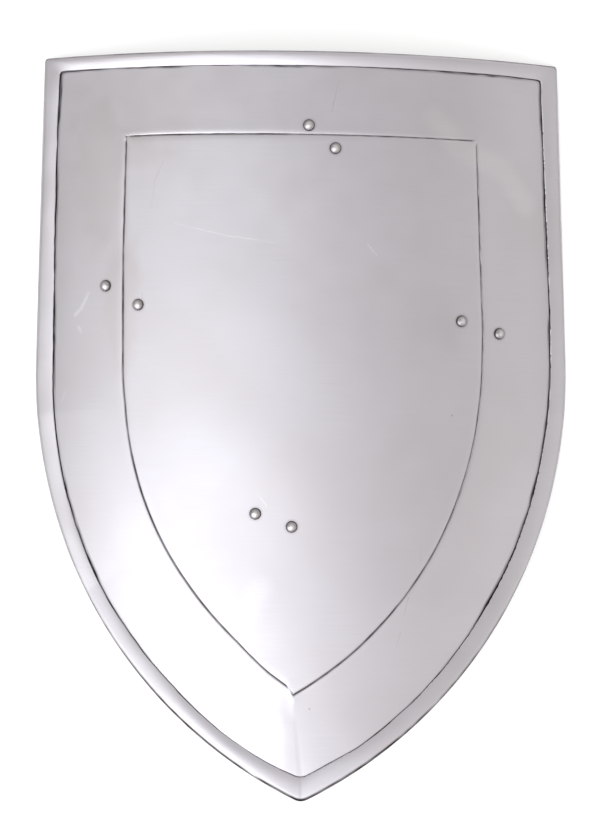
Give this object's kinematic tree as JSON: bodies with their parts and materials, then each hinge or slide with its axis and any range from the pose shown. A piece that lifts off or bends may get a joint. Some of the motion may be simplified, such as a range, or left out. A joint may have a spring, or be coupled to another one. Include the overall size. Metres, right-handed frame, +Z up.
{
  "type": "heater shield",
  "caption": "Heater shield of sheet steel, bent round its long axis, with a rolled rim, a pressed line round the field, domed rivets and two leather straps behind.",
  "frame": {"origin": "middle of the shield's box on the surface that it lies on", "axes": "+Z up out of the shield's face, +Y along its height towards the straight top edge, +X across it to the right as seen from the front"},
  "size_m": [0.5112, 0.7022, 0.076],
  "materials": {
    "plate_steel": "satin sheet steel, rubbed along and across, with smudges, fine scratches and a dark seam at the rolled rim",
    "rivet_steel": "peened steel heads, polished on top and dark round their edges",
    "washer_steel": "plain stamped steel washers, dull",
    "strap_leather": "thick brown vegetable-tanned leather, burnished edges"
  },
  "bodies": {
    "root": {"shield_plate": "plate_steel", "rivet_left_a": "rivet_steel", "rivet_left_b": "rivet_steel", "rivet_top_a": "rivet_steel", "rivet_top_b": "rivet_steel", "rivet_right_a": "rivet_steel", "rivet_right_b": "rivet_steel", "rivet_bottom_a": "rivet_steel", "rivet_bottom_b": "rivet_steel", "washer_left_a": "washer_steel", "washer_left_b": "washer_steel", "washer_top_a": "washer_steel", "washer_top_b": "washer_steel", "washer_right_a": "washer_steel", "washer_right_b": "washer_steel", "washer_bottom_a": "washer_steel", "washer_bottom_b": "washer_steel", "hand_strap": "strap_leather", "forearm_strap": "strap_leather"}
  },
  "joints": []
}
